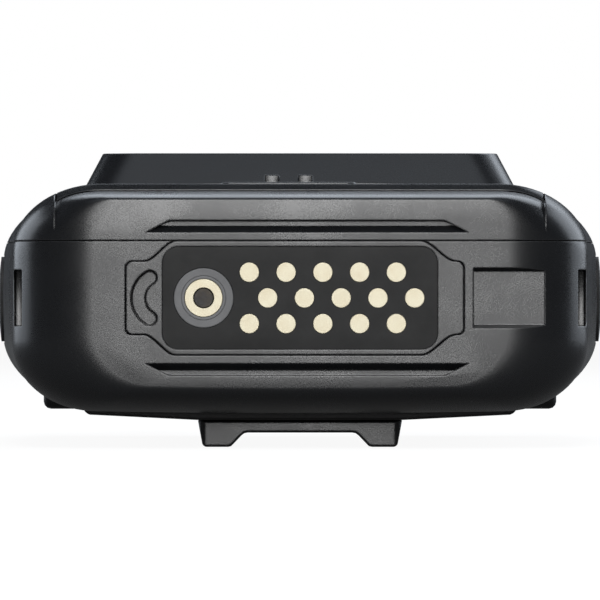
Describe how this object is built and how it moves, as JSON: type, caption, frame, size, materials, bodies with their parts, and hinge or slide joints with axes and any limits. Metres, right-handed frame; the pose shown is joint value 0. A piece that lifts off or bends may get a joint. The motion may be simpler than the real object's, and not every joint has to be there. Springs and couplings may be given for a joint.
{
  "type": "wireless bodypack transmitter",
  "caption": "Body-worn wireless transmitter, lying on its back: flush contact dock with coaxial port, clip rail, removable battery, raised display hood, stub antenna and microphone socket.",
  "frame": {"origin": "centre of the bounding box in X and Y, at the feet of the clip rail on which the unit lies", "axes": "+Z out of the front (display side), +Y along the body from the dock end to the antenna, +X to the right seen from the dock end"},
  "size_m": [0.063, 0.1284, 0.0305],
  "materials": {
    "case_plastic": "fine moulded texture, charcoal",
    "battery_plastic": "fine moulded texture, black",
    "dock_frame_plastic": "fine moulded texture, charcoal",
    "contact_plate": "smooth satin, dark grey",
    "coax_plastic": "smooth satin, mid grey",
    "core_metal": "dull",
    "contact_gold": "pale gold plate",
    "screw_steel": "black zinc",
    "shield_steel": "tin plate",
    "socket_metal": "black anodised",
    "circuit_board": "solder mask",
    "rubber": "soft matte",
    "lens": "polished dark window",
    "panel": "display panel",
    "light": "frosted light guide"
  },
  "bodies": {
    "case": {"antenna_socket": "contact_gold", "battery_terminal": "contact_gold", "case_screw_1": "screw_steel", "case_screw_2": "screw_steel", "case_screw_3": "screw_steel", "case_screw_4": "screw_steel", "coax_barrel": "contact_gold", "coax_core": "core_metal", "coax_insulator": "coax_plastic", "display_hood": "case_plastic", "display_lens": "lens", "display_panel": "panel", "dock_board": "circuit_board", "dock_contact_01": "contact_gold", "dock_contact_02": "contact_gold", "dock_contact_03": "contact_gold", "dock_contact_04": "contact_gold", "dock_contact_05": "contact_gold", "dock_contact_06": "contact_gold", "dock_contact_07": "contact_gold", "dock_contact_08": "contact_gold", "dock_contact_09": "contact_gold", "dock_contact_10": "contact_gold", "dock_contact_11": "contact_gold", "dock_contact_12": "contact_gold", "dock_contact_13": "contact_gold", "dock_contact_14": "contact_gold", "dock_contact_15": "contact_gold", "dock_frame": "dock_frame_plastic", "dock_insert": "contact_plate", "front_fascia": "case_plastic", "front_shell": "case_plastic", "main_board": "circuit_board", "mic_insert": "contact_plate", "mic_pin_1": "contact_gold", "mic_pin_2": "contact_gold", "mic_pin_3": "contact_gold", "mic_socket": "socket_metal", "rear_shell": "case_plastic", "rf_shield": "shield_steel", "shell_seal": "rubber", "status_light": "light"},
    "battery": {"battery_pack": "battery_plastic", "clip_rail": "dock_frame_plastic", "rail_screw_1": "screw_steel", "rail_screw_2": "screw_steel"},
    "function_key": {"function_key": "case_plastic"},
    "key_up": {"key_up": "rubber"},
    "key_set": {"key_set": "rubber"},
    "key_down": {"key_down": "rubber"},
    "side_button_left": {"side_button_left": "rubber"},
    "side_button_right": {"side_button_right": "rubber"},
    "power_switch": {"power_switch": "rubber"},
    "battery_latch": {"battery_latch": "case_plastic"},
    "antenna": {"antenna": "rubber"},
    "mic_ring": {"mic_ring": "socket_metal"}
  },
  "joints": [
    {"name": "function_key_press", "type": "slide", "parent": "case", "child": "function_key", "axis": [0, 0, -1], "range_m": [0, 0.0004], "stiffness_N_per_m": 500},
    {"name": "key_down_press", "type": "slide", "parent": "case", "child": "key_down", "axis": [0, 0, -1], "range_m": [0, 0.0004], "stiffness_N_per_m": 500},
    {"name": "key_set_press", "type": "slide", "parent": "case", "child": "key_set", "axis": [0, 0, -1], "range_m": [0, 0.0004], "stiffness_N_per_m": 500},
    {"name": "key_up_press", "type": "slide", "parent": "case", "child": "key_up", "axis": [0, 0, -1], "range_m": [0, 0.0004], "stiffness_N_per_m": 500},
    {"name": "side_button_left_press", "type": "slide", "parent": "case", "child": "side_button_left", "axis": [1, 0, 0], "range_m": [0, 0.0006], "stiffness_N_per_m": 500},
    {"name": "side_button_right_press", "type": "slide", "parent": "case", "child": "side_button_right", "axis": [-1, 0, 0], "range_m": [0, 0.0006], "stiffness_N_per_m": 500},
    {"name": "power_switch_slide", "type": "slide", "parent": "case", "child": "power_switch", "axis": [1, 0, 0], "range_m": [0, 0.003]},
    {"name": "battery_latch_slide", "type": "slide", "parent": "case", "child": "battery_latch", "axis": [0, 1, 0], "range_m": [0, 0.002], "stiffness_N_per_m": 300},
    {"name": "battery_lift", "type": "slide", "parent": "case", "child": "battery", "axis": [0, 0, -1], "range_m": [0, 0.012]},
    {"name": "antenna_turn", "type": "hinge", "parent": "case", "child": "antenna", "pos_m": [-0.017, 0.0458, 0.013], "axis": [0, 1, 0], "range_deg": [0, 1440]},
    {"name": "mic_ring_turn", "type": "hinge", "parent": "case", "child": "mic_ring", "pos_m": [0.0165, 0.0378, 0.013], "axis": [0, 1, 0], "range_deg": [0, 60]}
  ]
}
